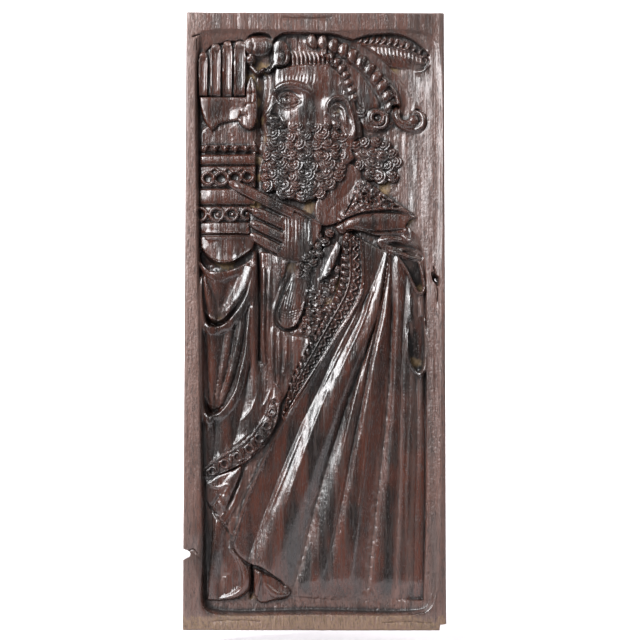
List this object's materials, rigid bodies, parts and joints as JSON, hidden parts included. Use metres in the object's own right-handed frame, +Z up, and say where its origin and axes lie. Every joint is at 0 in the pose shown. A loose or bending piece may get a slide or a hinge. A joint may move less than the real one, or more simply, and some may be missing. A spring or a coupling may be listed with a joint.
{
  "type": "carved wall panel",
  "caption": "Tall framed oak wall panel carved in relief with a robed, bearded figure in profile, a raised hand, a plumed cap and a long folded cloak.",
  "frame": {"origin": "middle of the flat back, where the panel meets the wall", "axes": "+X to the right of someone facing the carving, +Y into the wall, +Z up; the carving faces -Y"},
  "size_m": [0.234, 0.024, 0.556],
  "materials": {
    "waxed_oak": "old dark oak, waxed and polished by handling, dusty in the hollows"
  },
  "bodies": {
    "root": {"carved_panel": "waxed_oak"}
  },
  "joints": []
}
